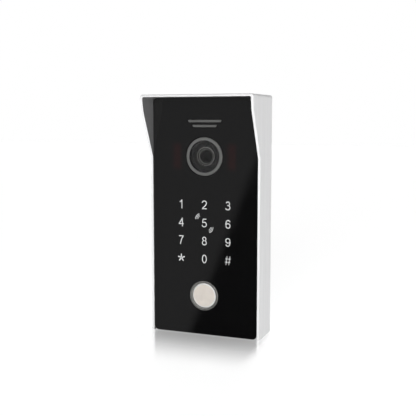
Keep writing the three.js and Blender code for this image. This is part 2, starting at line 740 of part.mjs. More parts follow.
function keypadBoard() {
  const board = plate(centred(0, keypadCentre, 2 * keypadBoardHalfX, 2 * keypadBoardHalfZ, 2),
    keypadBoardBack, keypadBoardBack + boardThickness);
  const holes = keypadScrewPlaces.map(([x, z]) => pin(x, z, smallScrew.shaft + fit,
    keypadBoardBack - 1, keypadBoardBack + boardThickness + 1, coarse));
  return cut(board, ...holes);
}

function antenna() {
  const back = keypadBoardBack - fit - antennaThickness;
  const halfX = keyWindowHalfX - antennaInset;
  const halfZ = keyWindowHalfZ - antennaInset;
  const outer = centred(0, keypadCentre, 2 * halfX, 2 * halfZ, antennaCorner);
  const inner = centred(0, keypadCentre, 2 * (halfX - antennaWidth), 2 * (halfZ - antennaWidth),
    antennaCorner - antennaWidth / 2);
  const front = back + antennaThickness;
  return cut(plate(outer, back, front), plate(inner, back - 1, front + 1));
}

// ---------------------------------------------------------------- call button

const bezelFront = stationDepth + fit + bezelProud;
const capFront = bezelFront - capRecess;
const capUnder = capFront - capTop;
const webFront = capUnder - springRoom;
const webBack = webFront - bezelWeb;
const skirtEnd = webFront + fit + buttonTravel;
const clipFront = webBack - fit;
const clipBack = clipFront - clipThickness;
const stemEnd = clipBack - clipPlay - stemLand;

// Threaded bezel: a flange on the glass, a tube through it and a web that guides the stem.
function buttonBezel() {
  const under = stationDepth + fit;
  const groove = (bore + bezelRadius) / 2;
  return turned(0, buttonHeight, [
    [stemRadius + fit, webBack], [bore, webBack], [bore, nutBack - overlap],
    [tubeOuter, nutBack - overlap], [tubeOuter, under], [bezelRadius, under],
    [bezelRadius, bezelFront - bezelEdge], [bezelRadius - bezelEdge, bezelFront],
    [groove + bezelGroove, bezelFront],
    [groove, bezelFront - bezelGroove], [groove - bezelGroove, bezelFront], [bore, bezelFront],
    [bore, webFront], [stemRadius + fit, webFront], [stemRadius + fit, webBack],
  ], fine);
}

// Cap with a bevelled rim, a guiding skirt and a stem that passes through the web.
function callButton() {
  const neck = stemRadius - stemNeck;
  return turned(0, buttonHeight, [
    [0, stemEnd], [stemRadius, stemEnd], [stemRadius, clipBack - clipPlay], [neck, clipBack - clipPlay],
    [neck, clipFront + clipPlay], [stemRadius, clipFront + clipPlay], [stemRadius, capUnder],
    [capRadius - capSkirt, capUnder], [capRadius - capSkirt, skirtEnd], [capRadius, skirtEnd],
    [capRadius, capFront - capBevel], [capRadius - capBevel, capFront], [0, capFront],
  ], fine);
}

const stemClip = () => turned(0, buttonHeight,
  tube(stemRadius - stemNeck + fit, stemRadius + clipReach, clipBack, clipFront));

// Return spring: a round wire wound between the web and the cap, as a swept helix.
class Helix extends THREE.Curve {
  constructor(radius, low, high, turns) {
    super();
    Object.assign(this, { radius, low, high, turns });
  }

  getPoint(t, target = new THREE.Vector3()) {
    const angle = t * this.turns * 2 * Math.PI;
    const depth = this.low + t * (this.high - this.low);
    return target.set(this.radius * Math.cos(angle), -depth, buttonHeight + this.radius * Math.sin(angle));
  }
}

function buttonSpring() {
  const radius = (stemRadius + capRadius - capSkirt) / 2;
  const reach = springWire / 2 + fit;
  const path = new Helix(radius, webFront + reach, capUnder - reach, springTurns);
  const wire = new THREE.Shape().absarc(0, 0, springWire / 2, 0, 2 * Math.PI);
  return solid(new THREE.ExtrudeGeometry(wire, {
    steps: springTurns * 12, bevelEnabled: false, extrudePath: path, curveSegments: 3,
  }));
}

const nutFront = frameBack - fit;
const nutBack = nutFront - nutWidth;

function buttonNut() {
  const hexagon = turned(0, buttonHeight, rod(nutRadius, nutBack, nutFront), 6);
  return cut(hexagon, pin(0, buttonHeight, tubeOuter + fit, nutBack - 1, nutFront + 1));
}

const switchBack = mainBoardFront + fit;
const plungerFront = stemEnd - fit;
const switchFront = plungerFront - plungerStandout;

function switchBody() {
  const box = plate(centred(0, buttonHeight, switchSize, switchSize, 0.6), switchBack, switchFront, 2);
  return cut(box, pin(0, buttonHeight, switchPlunger + fit, switchBack + switchFloor, switchFront + 1,
    coarse));
}

const plungerBack = switchBack + switchFloor + fit + buttonTravel;

// ---------------------------------------------------------------- electronics

const boardScrewPlaces = [
  [boardScrewInset - mainBoardWidth / 2, mainBoardTop - boardScrewInset],
  [mainBoardWidth / 2 - boardScrewInset, mainBoardBottom + boardScrewInset],
];
const terminalCentre = bayCentre + terminalRaise;
const polePlaces = Array.from({ length: poleCount }, (_, i) => (i - (poleCount - 1) / 2) * polePitch);
const microphoneDepth = (housingFloor + housingFront) / 2;

function mainBoard() {
  const board = plate(rectangle(-mainBoardWidth / 2, mainBoardWidth / 2, mainBoardBottom, mainBoardTop, 2),
    mainBoardBack, mainBoardFront);
  const screwHoles = boardScrewPlaces.map(([x, z]) =>
    pin(x, z, smallScrew.shaft + fit, mainBoardBack - 1, mainBoardFront + 1, coarse));
  return cut(board, ...screwHoles);
}

// Screw terminals in the wiring bay: a well and a wire mouth for each pole.
function terminalBlock() {
  const front = bayFloor - fit;
  const share = (part) => terminalDepth + part * (front - terminalDepth);
  const box = plate(centred(0, terminalCentre, poleCount * polePitch, terminalHeight, 0.5),
    terminalDepth, front, 2);
  const low = terminalCentre - terminalHeight / 2;
  const wells = polePlaces.map((x) =>
    pin(x, terminalCentre + 1, poleWell, terminalDepth - 1, share(1 / 3), coarse));
  const mouths = polePlaces.map((x) => plate(rectangle(x - poleMouth / 2, x + poleMouth / 2,
    low - 1, terminalCentre - fit), share(0.43), share(0.76)));
  return cut(box, ...wells, ...mouths);
}

// Flat flexible cable: behind the camera board, then down to the back of the main board.
function cameraCable() {
  const start = cameraHeight - cameraBoardHeight / 2 + cableLap / 2;
  const bend = cameraHeight - cameraBoardHeight / 2 - 2;
  const upper = cameraBoardDepth - fit;
  const lower = mainBoardBack - fit;
  const landing = mainBoardTop - 1;
  const end = mainBoardTop - cableLap;
  const shape = new THREE.Shape();
  shape.moveTo(upper, start).lineTo(upper, bend).lineTo(lower, landing).lineTo(lower, end);
  shape.lineTo(lower - cableThickness, end).lineTo(lower - cableThickness, landing - cableThickness);
  shape.lineTo(upper - cableThickness, bend - cableThickness).lineTo(upper - cableThickness, start);
  return sideCut(shape.closePath(), -cableWidth / 2, cableWidth / 2);
}

function microphoneBoot() {
  const low = housingBottom + housingWall + fit;
  const inner = microphoneRadius + fit;
  const floor = low + bootFloor;
  const top = floor + microphoneHeight + bootLip;
  return turnedUp(microphoneOffset, microphoneDepth, [
    [soundHole, low], [inner + bootWall, low], [inner + bootWall, top], [inner, top],
    [inner, floor], [soundHole, floor], [soundHole, low],
  ]);
}

function microphone() {
  const low = housingBottom + housingWall + fit + bootFloor + fit;
  return turnedUp(microphoneOffset, microphoneDepth, rod(microphoneRadius, low, low + microphoneHeight));
}

const boardBlock = (x, z, [width, depth, height]) =>
  plate(centred(x, z, width, height, 0.4), mainBoardFront + fit, mainBoardFront + fit + depth, 2);

function securityScrewBody() {
  const { shaft, head, headHeight } = securityScrew;
  const low = hoodBottom + screwSink;
  const end = housingBottom + housingWall + screwLengths.securityPast;
  return cut(turnedUp(0, tabScrewDepth, [
    [0, low], [head, low], [head, low + screwSink], [shaft, low + headHeight],
    [shaft, end - shaft], [0, end],
  ]), turnedUp(0, tabScrewDepth, rod(shaft * 0.7, low - 1, low + headHeight * 0.65), 6));
}

// ---------------------------------------------------------------- assembly

node('rain_hood', rainHood(), finishes.satinAluminium);
node('front_glass', frontGlass(), finishes.blackGlass);
node('panel_gasket', panelGasket(), finishes.blackRubber);
node('front_frame', frontFrame(), finishes.blackPlastic);
node('housing_seal', housingSeal(), finishes.blackRubber);
node('rear_housing', rearHousing(), finishes.greyPlastic);
caseScrewPlaces.forEach(([x, z], i) =>
  node(`housing_screw_${i + 1}`, backScrew(x, z, caseScrew, housingBack + fit, screwLengths.case),
    finishes.zincSteel));
node('security_screw', securityScrewBody(), finishes.stainless);

node('camera_ring', cameraRing(), finishes.greyTrim);
node('camera_window', pin(0, cameraHeight, ringInner - fit, windowFront - windowThickness,
  windowFront, fine), finishes.clearAcrylic);
node('lens_barrel', turned(0, cameraHeight, lensBarrelProfile), finishes.blackPlastic);
node('front_lens', frontLens(), finishes.clearAcrylic);
node('lens_holder', lensHolder(), finishes.blackPlastic);
node('image_sensor', plate(centred(0, cameraHeight, sensorWidth, sensorWidth - 1), holderBack,
  holderBack + sensorThickness), finishes.greyPlastic);
node('camera_board', cameraBoard(), finishes.circuitBoard);
sides.forEach((s) => node(`camera_screw_${s < 0 ? 'left' : 'right'}`,
  frontScrew(s * cameraScrewOffset, cameraHeight, smallScrew,
    holderBack + earThickness + fit + smallScrew.headHeight, screwLengths.camera), finishes.zincSteel));
node('camera_cable', cameraCable(), finishes.copper);

sides.forEach((s) => node(`ir_board_${s < 0 ? 'left' : 'right'}`, lampBoard(s), finishes.circuitBoard));
lampPlaces.forEach(([x, z], i) => node(`ir_lamp_${i + 1}`, lamp(x, z), finishes.infraredResin));

node('speaker_grille_upper', speakerGrille(barLengths[0], barHeights[0]), finishes.greyTrim);
node('speaker_grille_lower', speakerGrille(barLengths[1], barHeights[1]), finishes.greyTrim);
node('speaker_gasket', speakerGasketRing(), finishes.blackRubber);
node('speaker_frame', speakerFrame(), finishes.greyPlastic);
node('speaker_magnet', speakerMagnet(), finishes.ferrite);
node('speaker_cone', speakerCone(), finishes.paperCone);

node('light_diffuser', plate(centred(0, keypadCentre, 2 * (keyWindowHalfX - fit),
  2 * (keyWindowHalfZ - fit), 2), gasketFront - diffuserThickness, gasketFront), finishes.milkAcrylic);
node('keypad_board', keypadBoard(), finishes.circuitBoard);
node('rfid_antenna', antenna(), finishes.copper);
keypadScrewPlaces.forEach(([x, z], i) => node(`keypad_screw_${i + 1}`,
  backScrew(x, z, smallScrew, keypadBoardBack - fit - smallScrew.headHeight, screwLengths.keypad),
  finishes.zincSteel));

node('button_bezel', buttonBezel(), finishes.stainless);
node('call_button', callButton(), finishes.stainless);
node('stem_clip', stemClip(), finishes.zincSteel);
node('button_spring', buttonSpring(), finishes.zincSteel);
node('button_nut', buttonNut(), finishes.zincSteel);
node('button_seal', turned(0, buttonHeight,
  tube(tubeOuter + fit, bezelRadius + fit + ringFlange, gasketBack, gasketFront)), finishes.blackRubber);
node('switch_body', switchBody(), finishes.blackPlastic);
node('switch_plunger', pin(0, buttonHeight, switchPlunger, plungerBack, plungerFront, coarse),
  finishes.greyPlastic);

node('main_board', mainBoard(), finishes.circuitBoard);
boardScrewPlaces.forEach(([x, z], i) => node(`board_screw_${i + 1}`,
  frontScrew(x, z, smallScrew, mainBoardFront + fit + smallScrew.headHeight,
    mainBoardFront + fit - (housingFloor + mainBoardBack) / 2),
  finishes.zincSteel));
node('processor_chip', boardBlock(0, keypadCentre, chipSize), finishes.blackPlastic);
node('lock_relay', boardBlock(-nutRadius - relayGap - relaySize[0] / 2, buttonHeight - relayDrop,
  relaySize), finishes.blackPlastic);
node('board_connector', plate(centred(0, keypadCentre + keypadBoardHalfZ - connectorSize[1] / 2 - fit,
  ...connectorSize), mainBoardFront + fit, keypadBoardBack - fit), finishes.blackPlastic);
node('terminal_block', terminalBlock(), finishes.terminalGreen);
node('microphone_boot', microphoneBoot(), finishes.blackRubber);
node('microphone', microphone(), finishes.zincSteel);

export default group;
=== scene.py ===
import bpy
import bmesh
import json
import math
from mathutils import Matrix, Vector


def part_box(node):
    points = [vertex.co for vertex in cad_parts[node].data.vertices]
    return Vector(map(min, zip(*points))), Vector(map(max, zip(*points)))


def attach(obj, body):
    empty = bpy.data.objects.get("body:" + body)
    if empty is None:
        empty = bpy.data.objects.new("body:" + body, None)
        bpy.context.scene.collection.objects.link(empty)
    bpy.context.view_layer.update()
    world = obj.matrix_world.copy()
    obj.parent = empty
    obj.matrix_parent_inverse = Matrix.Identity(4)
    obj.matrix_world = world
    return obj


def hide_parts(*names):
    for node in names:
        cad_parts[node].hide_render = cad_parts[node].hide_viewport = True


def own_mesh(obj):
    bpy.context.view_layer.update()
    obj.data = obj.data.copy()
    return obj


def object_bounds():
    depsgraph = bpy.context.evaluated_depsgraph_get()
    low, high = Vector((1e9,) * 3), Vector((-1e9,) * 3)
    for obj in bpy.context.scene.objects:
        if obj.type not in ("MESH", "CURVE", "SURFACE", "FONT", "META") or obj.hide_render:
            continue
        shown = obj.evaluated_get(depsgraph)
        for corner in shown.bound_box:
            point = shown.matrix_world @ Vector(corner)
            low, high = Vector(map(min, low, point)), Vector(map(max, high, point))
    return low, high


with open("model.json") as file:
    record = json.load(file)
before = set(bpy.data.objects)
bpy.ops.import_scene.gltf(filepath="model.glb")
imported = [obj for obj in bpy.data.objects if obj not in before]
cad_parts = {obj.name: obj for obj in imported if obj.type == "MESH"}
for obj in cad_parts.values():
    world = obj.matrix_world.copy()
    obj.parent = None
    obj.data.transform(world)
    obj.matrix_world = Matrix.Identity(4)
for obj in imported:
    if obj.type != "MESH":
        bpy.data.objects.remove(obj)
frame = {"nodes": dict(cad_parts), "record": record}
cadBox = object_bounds()
mm = 0.001
print("frame loaded:", len(frame["nodes"]), "nodes")


def middle(node):
    low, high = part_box(node)
    return (low + high) / 2


def radiusOf(node):
    low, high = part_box(node)
    return (high.x - low.x) / 2


def frontOf(node):
    return -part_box(node)[0].y


def backOf(node):
    return -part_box(node)[1].y


glassFront = frontOf("front_glass")


studio = {
    "lens": 64.8,
    "sensor": 36,
    "clip": (0.01, 50),
    "cameraPlace": (205.7, -551.7, 75.4),  # in millimetres; the floor and lights are in metres
    "yaw": 21.18,
    "pitch": -6.85,
    "floorSize": 8.0,
    "floorColour": (0.85, 0.85, 0.85, 1),
    "floorRoughness": 0.6,
    "floorGlow": 0.8,
    "mirrorRoughness": 0.06,
    "mirrorReach": 0.075,
    "mirrorStretch": 0.3,
    "mirrorStrength": 0.65,
    "mirrorSide": 0.012,
    "skyColour": (0.05, 0.05, 0.05, 1),
    "skyStrength": 1.2,
    "dimStrength": 0.55,
    "dimSide": (-0.8, 0.0, 0.6),
    "dimRange": (0.1, 0.9),
}
white = (1, 1, 1, 1)


def addMath(nodes, operation, value=None):
    node = nodes.new("ShaderNodeMath")
    node.operation = operation
    if value is not None:
        node.inputs[1].default_value = value
    return node


def addRange(nodes, start, end, low, high):
    # eases from low to high while its input runs from start to end
    node = nodes.new("ShaderNodeMapRange")
    node.interpolation_type = "SMOOTHSTEP"
    for label, value in (("From Min", start), ("From Max", end), ("To Min", low), ("To Max", high)):
        node.inputs[label].default_value = value
    return node


def startMaterial(name):
    material = bpy.data.materials.new(name)
    material.use_nodes = True
    return material, material.node_tree.nodes, material.node_tree.links.new


def addPlate(name, side, place=(0, 0, 0)):
    # a flat square that belongs to the studio
    bm = bmesh.new()
    bmesh.ops.create_grid(bm, x_segments=1, y_segments=1, size=side / 2)
    bmesh.ops.translate(bm, verts=bm.verts, vec=place)
    mesh = bpy.data.meshes.new(name)
    bm.to_mesh(mesh)
    bm.free()
    plate = bpy.data.objects.new(name, mesh)
    bpy.context.scene.collection.objects.link(plate)
    return plate


def makeCamera():
    data = bpy.data.cameras.new("camera")
    data.lens = studio["lens"]
    data.sensor_width = studio["sensor"]
    data.clip_start, data.clip_end = studio["clip"]
    camera = bpy.data.objects.new("camera", data)
    bpy.context.scene.collection.objects.link(camera)
    camera.location = Vector(studio["cameraPlace"]) * mm
    camera.rotation_euler = (math.radians(90 + studio["pitch"]), 0, math.radians(studio["yaw"]))
    bpy.context.scene.camera = camera


def makeWorld():
    world = bpy.data.worlds.new("studioAir")
    bpy.context.scene.world = world
    world.use_nodes = True
    nodes, join = world.node_tree.nodes, world.node_tree.links.new
    background = nodes["Background"]
    background.inputs["Color"].default_value = studio["skyColour"]
    # dimmer overhead and to the left, so that the hood's edges show
    way = nodes.new("ShaderNodeTexCoord")
    towards = nodes.new("ShaderNodeVectorMath")
    towards.operation = "DOT_PRODUCT"
    towards.inputs[1].default_value = studio["dimSide"]
    dome = addRange(nodes, *studio["dimRange"], studio["skyStrength"], studio["dimStrength"])
    join(way.outputs["Generated"], towards.inputs[0])
    join(towards.outputs["Value"], dome.inputs["Value"])
    join(dome.outputs["Result"], background.inputs["Strength"])
    # plain white to the camera and in reflections
    seen = nodes.new("ShaderNodeBackground")
    seen.inputs["Color"].default_value = white
    path = nodes.new("ShaderNodeLightPath")
    either = addMath(nodes, "MAXIMUM")
    mix = nodes.new("ShaderNodeMixShader")
    join(path.outputs["Is Camera Ray"], either.inputs[0])
    join(path.outputs["Is Glossy Ray"], either.inputs[1])
    join(either.outputs["Value"], mix.inputs["Fac"])
    join(background.outputs["Background"], mix.inputs[1])
    join(seen.outputs["Background"], mix.inputs[2])
    join(mix.outputs["Shader"], nodes["World Output"].inputs["Surface"])


keyLight = {"place": (0.4, -1.55, 0.3), "target": (0, 0, 0), "size": (0.8, 0.8), "power": 15}


def makeKeyLight():
    data = bpy.data.lights.new("keyLight", "AREA")
    data.shape = "RECTANGLE"
    data.size, data.size_y = keyLight["size"]
    data.energy = keyLight["power"]
    light = bpy.data.objects.new("keyLight", data)
    bpy.context.scene.collection.objects.link(light)
    light.location = keyLight["place"]
    aim = Vector(keyLight["target"]) - Vector(keyLight["place"])
    light.rotation_euler = aim.to_track_quat("-Z", "Y").to_euler()


def makeFloor():
    floor = addPlate("floor", studio["floorSize"], (0, 0, cadBox[0].z))
    material, nodes, join = startMaterial("paleFloor")
    shader = nodes["Principled BSDF"]
    shader.inputs["Base Color"].default_value = studio["floorColour"]
    shader.inputs["Roughness"].default_value = studio["floorRoughness"]
    shader.inputs["Emission Color"].default_value = white
    shader.inputs["Emission Strength"].default_value = studio["floorGlow"]
    gloss = nodes.new("ShaderNodeBsdfGlossy")
    gloss.inputs["Color"].default_value = white
    gloss.inputs["Roughness"].default_value = studio["mirrorRoughness"]
    # the polish fades with the distance from the foot of the panel
    place = nodes.new("ShaderNodeTexCoord")
    shift = nodes.new("ShaderNodeMapping")
    shift.inputs["Location"].default_value = (0, glassFront, -cadBox[0].z)
    shift.inputs["Scale"].default_value = (studio["mirrorStretch"], 1, 1)
    length = nodes.new("ShaderNodeVectorMath")
    length.operation = "LENGTH"
    fade = addRange(nodes, 0, studio["mirrorReach"], studio["mirrorStrength"], 0)
    join(place.outputs["Object"], shift.inputs["Vector"])
    join(shift.outputs["Vector"], length.inputs[0])
    join(length.outputs["Value"], fade.inputs["Value"])
    # and stays within the panel's width
    axes = nodes.new("ShaderNodeSeparateXYZ")
    aside = addMath(nodes, "ABSOLUTE")
    side = cadBox[1].x
    within = addRange(nodes, side, side + studio["mirrorSide"], 1, 0)
    join(place.outputs["Object"], axes.inputs["Vector"])
    join(axes.outputs["X"], aside.inputs[0])
    join(aside.outputs["Value"], within.inputs["Value"])
    polish = addMath(nodes, "MULTIPLY")
    mix = nodes.new("ShaderNodeMixShader")
    join(fade.outputs["Result"], polish.inputs[0])
    join(within.outputs["Result"], polish.inputs[1])
    join(polish.outputs["Value"], mix.inputs["Fac"])
    join(shader.outputs["BSDF"], mix.inputs[1])
    join(gloss.outputs["BSDF"], mix.inputs[2])
    join(mix.outputs["Shader"], nodes["Material Output"].inputs["Surface"])
    floor.data.materials.append(material)
    # the panel mirrors the studio card, not the floor
    floor.visible_glossy = False


# A studio card that only reflections see: grey at its upper left, black at its lower right.
card = {
    "distance": 0.9,
    "size": 3.0,
    "bright": 0.33,
    "dark": 0.01,
    "tilt": -21.2,
    "edge": -0.0543,
    "softness": 0.0105,
}


def makeCard():
    # it stands where the front panel mirrors the camera's view
    camera = Vector(studio["cameraPlace"]) * mm
    panelMiddle = Vector((0, -glassFront, 0))
    mirrored = Vector((camera.x, -2 * glassFront - camera.y, camera.z))
    way = (panelMiddle - mirrored).normalized()
    plate = addPlate("studioCard", card["size"])
    plate.location = panelMiddle + way * card["distance"]
    plate.rotation_euler = way.to_track_quat("-Z", "Y").to_euler()
    for ray in ("visible_camera", "visible_diffuse", "visible_shadow", "visible_transmission"):
        setattr(plate, ray, False)
    material, nodes, join = startMaterial("studioCard")
    nodes.remove(nodes["Principled BSDF"])
    glow = nodes.new("ShaderNodeEmission")
    place = nodes.new("ShaderNodeTexCoord")
    tilted = nodes.new("ShaderNodeMapping")
    tilted.inputs["Rotation"].default_value = (0, 0, math.radians(card["tilt"]))
    axes = nodes.new("ShaderNodeSeparateXYZ")
    start, end = card["edge"] - card["softness"], card["edge"] + card["softness"]
    ramp = addRange(nodes, start, end, card["dark"], card["bright"])
    join(place.outputs["Object"], tilted.inputs["Vector"])
    join(tilted.outputs["Vector"], axes.inputs["Vector"])
    join(axes.outputs["X"], ramp.inputs["Value"])
    join(ramp.outputs["Result"], glow.inputs["Strength"])
    join(glow.outputs["Emission"], nodes["Material Output"].inputs["Surface"])
    plate.data.materials.append(material)


makeCamera()
makeWorld()
makeFloor()
makeCard()
makeKeyLight()
bpy.context.scene.view_settings.view_transform = "Standard"
print("camera and studio ready")


def newGroup(name, inputs, outputs):
    tree = bpy.data.node_groups.new(name, "ShaderNodeTree")
    for label, kind, value in inputs:
        socket = tree.interface.new_socket(label, in_out="INPUT", socket_type=kind)
        socket.default_value = value
    for label, kind in outputs:
        tree.interface.new_socket(label, in_out="OUTPUT", socket_type=kind)
    return tree, tree.nodes.new("NodeGroupInput"), tree.nodes.new("NodeGroupOutput")


noise = {"spread": (0.3, 0.7), "grainDetail": 3, "grainRough": 0.5, "toneDetail": 4,
         "toneRough": 0.6}


def addNoise(tree, given, detail, rough):
    # noise in the piece's own space, and the same noise widened to run from 0 to 1
    place = tree.nodes.new("ShaderNodeTexCoord")
    mapping = tree.nodes.new("ShaderNodeMapping")
    cloud = tree.nodes.new("ShaderNodeTexNoise")
    cloud.inputs["Detail"].default_value = detail
    cloud.inputs["Roughness"].default_value = rough
    spread = tree.nodes.new("ShaderNodeMapRange")
    for label, value in zip(("From Min", "From Max"), noise["spread"]):
        spread.inputs[label].default_value = value
    join = tree.links.new
    join(place.outputs["Object"], mapping.inputs["Vector"])
    join(given.outputs["Stretch"], mapping.inputs["Scale"])
    join(mapping.outputs["Vector"], cloud.inputs["Vector"])
    join(given.outputs["Scale"], cloud.inputs["Scale"])
    join(cloud.outputs["Fac"], spread.inputs["Value"])
    return cloud, spread


def makeGrain():
    # fine surface grain, stretched along the axes for brushed or moulded faces
    tree, given, result = newGroup("grain", [
        ("Stretch", "NodeSocketVector", (1, 1, 1)),
        ("Scale", "NodeSocketFloat", 2000),
        ("Low", "NodeSocketFloat", 0.3),
        ("High", "NodeSocketFloat", 0.4),
    ], [("Roughness", "NodeSocketFloat"), ("Height", "NodeSocketFloat")])
    cloud, spread = addNoise(tree, given, noise["grainDetail"], noise["grainRough"])
    join = tree.links.new
    join(given.outputs["Low"], spread.inputs["To Min"])
    join(given.outputs["High"], spread.inputs["To Max"])
    join(spread.outputs["Result"], result.inputs["Roughness"])
    join(cloud.outputs["Fac"], result.inputs["Height"])
    return tree


def makeTone():
    # slow drift between two close colours, as paint, moulding and metal have
    tree, given, result = newGroup("toneDrift", [
        ("Light", "NodeSocketColor", (1, 1, 1, 1)),
        ("Dark", "NodeSocketColor", (0, 0, 0, 1)),
        ("Stretch", "NodeSocketVector", (1, 1, 1)),
        ("Scale", "NodeSocketFloat", 60),
    ], [("Color", "NodeSocketColor"), ("Mask", "NodeSocketFloat")])
    spread = addNoise(tree, given, noise["toneDetail"], noise["toneRough"])[1]
    mix = tree.nodes.new("ShaderNodeMix")
    mix.data_type = "RGBA"
    join = tree.links.new
    join(spread.outputs["Result"], mix.inputs["Factor"])
    join(given.outputs["Dark"], mix.inputs["A"])
    join(given.outputs["Light"], mix.inputs["B"])
    join(mix.outputs["Result"], result.inputs["Color"])
    join(spread.outputs["Result"], result.inputs["Mask"])
    return tree


grainGroup = makeGrain()
toneGroup = makeTone()


def addGrain(nodes, scale, rough, stretch=(1, 1, 1)):
    grain = nodes.new("ShaderNodeGroup")
    grain.node_tree = grainGroup
    grain.inputs["Stretch"].default_value = stretch
    grain.inputs["Scale"].default_value = scale
    grain.inputs["Low"].default_value, grain.inputs["High"].default_value = rough
    return grain


# What a finish doesn't name comes from here; bumpHeight is in millimetres.
usualFinish = {"metallic": 0.0, "ior": 1.5, "stretch": (1, 1, 1), "toneStretch": (1, 1, 1),
               "toneScale": 70, "bumpHeight": 0.1}

finishes = {
    "hoodSilver": {"light": (0.93, 0.93, 0.935), "dark": (0.86, 0.86, 0.865), "metallic": 0.1,
                   "rough": (0.38, 0.48), "grain": 2600, "bump": 0.06,
                   "toneStretch": (4, 30, 1), "toneScale": 12},
    # painted shade: a darker grey for the hood's inward and forward faces, in place of the shade
    # inside the hood
    "hoodPaintedShade": {"light": (0.20, 0.20, 0.202), "dark": (0.18, 0.18, 0.182),
                   "rough": (0.6, 0.75), "grain": 2200, "bump": 0.1,
                   # painted reflection: the grey that the hood's inside glows with in glossy rays
                   "mirrored": (0.19, 0.19, 0.19)},
    "frameBlack": {"light": (0.008, 0.008, 0.0085), "dark": (0.005, 0.005, 0.0055),
                   "rough": (0.45, 0.6), "ior": 1.3, "grain": 1800, "bump": 0.12},
    "housingGrey": {"light": (0.05, 0.051, 0.054), "dark": (0.036, 0.037, 0.04),
                    "rough": (0.5, 0.65), "grain": 1500, "bump": 0.18},
    "blackRubber": {"light": (0.02, 0.02, 0.02), "dark": (0.012, 0.012, 0.012),
                    "rough": (0.75, 0.9), "grain": 1200, "bump": 0.2},
    "trimGrey": {"light": (0.165, 0.167, 0.162), "dark": (0.145, 0.147, 0.142), "metallic": 0.35,
                 "rough": (0.3, 0.4), "grain": 4000, "bump": 0.04},
    "satinSteel": {"light": (0.89, 0.825, 0.75), "dark": (0.82, 0.76, 0.69), "metallic": 0.35,
                   "rough": (0.34, 0.46), "grain": 3000, "stretch": (1, 1, 6), "bump": 0.05,
                   "toneScale": 180},
    # steel, and the painted highlight on the call button's rim band
    "steelAndPaintedHighlight": {"light": (0.99, 0.98, 0.97), "dark": (0.95, 0.94, 0.93), "metallic": 0.1,
                    "rough": (0.25, 0.35), "grain": 4000, "bump": 0.02},
    "bezelSteel": {"light": (0.50, 0.50, 0.48), "dark": (0.42, 0.42, 0.40), "metallic": 0.85,
                   "rough": (0.18, 0.26), "grain": 3500, "bump": 0.03},
    "zincPlate": {"light": (0.60, 0.61, 0.64), "dark": (0.48, 0.48, 0.46), "metallic": 0.9,
                  "rough": (0.28, 0.42), "grain": 2600, "bump": 0.05},
    "lensBlack": {"light": (0.004, 0.004, 0.004), "dark": (0.003, 0.003, 0.003),
                  "rough": (0.3, 0.4), "ior": 1.12, "grain": 3000, "bump": 0.04},
    # painted highlight: a lighter grey for the lens head's rims, where the highlight arcs show
    "lensRimPaintedHighlight": {"light": (0.24, 0.24, 0.23), "dark": (0.2, 0.2, 0.19),
                "rough": (0.16, 0.22), "ior": 1.45, "grain": 3000, "bump": 0.03},
    "boardGreen": {"light": (0.02, 0.13, 0.05), "dark": (0.012, 0.085, 0.033),
                   "rough": (0.35, 0.5), "grain": 1600, "bump": 0.06,
                   "toneScale": 400},
    "lacquerCopper": {"light": (0.62, 0.30, 0.13), "dark": (0.45, 0.2, 0.08), "metallic": 0.9,
                      "rough": (0.3, 0.42), "grain": 2400, "stretch": (1, 1, 8), "bump": 0.1},
    "milkAcrylic": {"light": (0.80, 0.81, 0.83), "dark": (0.72, 0.73, 0.75),
                    "rough": (0.4, 0.5), "grain": 2000, "bump": 0.03},
    "ferriteGrey": {"light": (0.09, 0.095, 0.105), "dark": (0.05, 0.053, 0.06), "metallic": 0.6,
                    "rough": (0.35, 0.5), "grain": 1800, "bump": 0.1},
    "conePaper": {"light": (0.035, 0.032, 0.028), "dark": (0.02, 0.018, 0.016),
                  "rough": (0.8, 0.95), "grain": 900, "bump": 0.4},
    "terminalGreen": {"light": (0.04, 0.26, 0.09), "dark": (0.025, 0.18, 0.06),
                      "rough": (0.35, 0.48), "grain": 2000, "bump": 0.06},
    "legendWhite": {"light": (0.86, 0.87, 0.87), "dark": (0.80, 0.81, 0.81),
                    "rough": (0.3, 0.4), "grain": 3000, "bump": 0.02},
    "lampResin": {"light": (0.06, 0.012, 0.02), "dark": (0.035, 0.007, 0.012),
                  "rough": (0.08, 0.14), "grain": 1500, "bump": 0.02},
}


def makeMaterial(name):
    values = {**usualFinish, **finishes[name]}
    material, nodes, join = startMaterial(name)
    shader = nodes["Principled BSDF"]
    shader.inputs["Metallic"].default_value = values["metallic"]
    shader.inputs["IOR"].default_value = values["ior"]
    tone = nodes.new("ShaderNodeGroup")
    tone.node_tree = toneGroup
    tone.inputs["Light"].default_value = (*values["light"], 1)
    tone.inputs["Dark"].default_value = (*values["dark"], 1)
    tone.inputs["Stretch"].default_value = values["toneStretch"]
    tone.inputs["Scale"].default_value = values["toneScale"]
    grain = addGrain(nodes, values["grain"], values["rough"], values["stretch"])
    bump = nodes.new("ShaderNodeBump")
    bump.inputs["Strength"].default_value = values["bump"]
    bump.inputs["Distance"].default_value = values["bumpHeight"] * mm
    join(tone.outputs["Color"], shader.inputs["Base Color"])
    join(grain.outputs["Roughness"], shader.inputs["Roughness"])
    join(grain.outputs["Height"], bump.inputs["Height"])
    join(bump.outputs["Normal"], shader.inputs["Normal"])
    if "mirrored" in values:
        # painted reflection: the hood's inside glows for glossy rays only, so that in the black
        # panel's reflection it is as bright as the studio card
        path = nodes.new("ShaderNodeLightPath")
        seen = nodes.new("ShaderNodeMix")
        seen.data_type = "RGBA"
        seen.inputs["A"].default_value = (0, 0, 0, 1)
        seen.inputs["B"].default_value = (*values["mirrored"], 1)
        join(path.outputs["Is Glossy Ray"], seen.inputs["Factor"])
        join(seen.outputs["Result"], shader.inputs["Emission Color"])
        shader.inputs["Emission Strength"].default_value = 1
    return material


